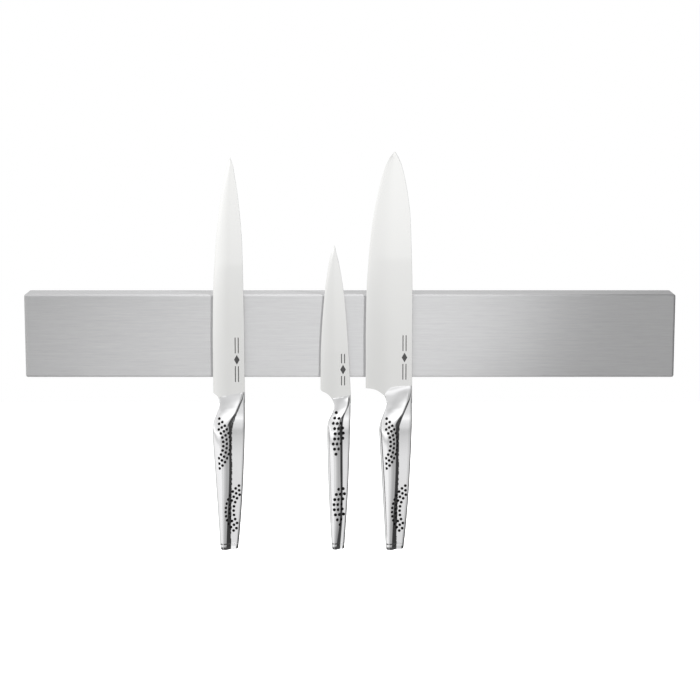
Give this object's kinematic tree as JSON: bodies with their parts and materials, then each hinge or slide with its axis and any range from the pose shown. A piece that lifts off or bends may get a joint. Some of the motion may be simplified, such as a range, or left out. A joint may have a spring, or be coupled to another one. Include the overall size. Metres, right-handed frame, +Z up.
{
  "type": "magnetic knife rack",
  "caption": "Wall-mounted magnetic knife rack: a long brushed steel bar on keyhole hangers, holding a slicing, a utility and a chef's knife upright by their blades.",
  "frame": {"origin": "middle of the rack's length and height on the wall plane, where the backs of the wall pads lie", "axes": "+X to the right when facing the rack, +Y into the wall, +Z up; the rack's face looks towards -Y"},
  "size_m": [0.55, 0.0408, 0.3401],
  "materials": {
    "brushed_steel": "horizontal satin brush",
    "blade_steel": "fine satin",
    "polished_steel": "polished",
    "zinc_plate": "bright zinc plating",
    "magnet_nickel": "nickel plating",
    "black_plastic": "fine moulded texture",
    "rubber": "matte"
  },
  "bodies": {
    "rack": {"front_cover": "brushed_steel", "magnet_spacer": "black_plastic", "back_housing": "black_plastic", "back_plate": "black_plastic", "yoke_plate": "zinc_plate", "magnet_upper_1": "magnet_nickel", "magnet_lower_1": "magnet_nickel", "magnet_upper_2": "magnet_nickel", "magnet_lower_2": "magnet_nickel", "magnet_upper_3": "magnet_nickel", "magnet_lower_3": "magnet_nickel", "magnet_upper_4": "magnet_nickel", "magnet_lower_4": "magnet_nickel", "magnet_upper_5": "magnet_nickel", "magnet_lower_5": "magnet_nickel", "magnet_upper_6": "magnet_nickel", "magnet_lower_6": "magnet_nickel", "magnet_upper_7": "magnet_nickel", "magnet_lower_7": "magnet_nickel", "magnet_upper_8": "magnet_nickel", "magnet_lower_8": "magnet_nickel", "magnet_upper_9": "magnet_nickel", "magnet_lower_9": "magnet_nickel", "stud_washer_1": "zinc_plate", "stud_nut_1": "zinc_plate", "stud_washer_2": "zinc_plate", "stud_nut_2": "zinc_plate", "stud_washer_3": "zinc_plate", "stud_nut_3": "zinc_plate", "stud_washer_4": "zinc_plate", "stud_nut_4": "zinc_plate", "back_screw_1": "zinc_plate", "back_screw_2": "zinc_plate", "back_screw_3": "zinc_plate", "back_screw_4": "zinc_plate", "back_screw_5": "zinc_plate", "back_screw_6": "zinc_plate", "hanger_plate_left": "zinc_plate", "hanger_screw_left_1": "zinc_plate", "hanger_screw_left_2": "zinc_plate", "hanger_plate_right": "zinc_plate", "hanger_screw_right_1": "zinc_plate", "hanger_screw_right_2": "zinc_plate", "wall_pad_1": "rubber", "wall_pad_2": "rubber", "wall_pad_3": "rubber", "wall_pad_4": "rubber"},
    "slicing_knife": {"slicing_knife_blade": "blade_steel", "slicing_knife_handle": "polished_steel", "slicing_knife_butt_cap": "polished_steel"},
    "utility_knife": {"utility_knife_blade": "blade_steel", "utility_knife_handle": "polished_steel", "utility_knife_butt_cap": "polished_steel"},
    "chef_knife": {"chef_knife_blade": "blade_steel", "chef_knife_handle": "polished_steel", "chef_knife_butt_cap": "polished_steel"}
  },
  "joints": [
    {"name": "slicing_knife_pull", "type": "slide", "parent": "rack", "child": "slicing_knife", "axis": [0, -1, 0], "range_m": [0, 0.15]},
    {"name": "utility_knife_pull", "type": "slide", "parent": "rack", "child": "utility_knife", "axis": [0, -1, 0], "range_m": [0, 0.15]},
    {"name": "chef_knife_pull", "type": "slide", "parent": "rack", "child": "chef_knife", "axis": [0, -1, 0], "range_m": [0, 0.15]}
  ]
}
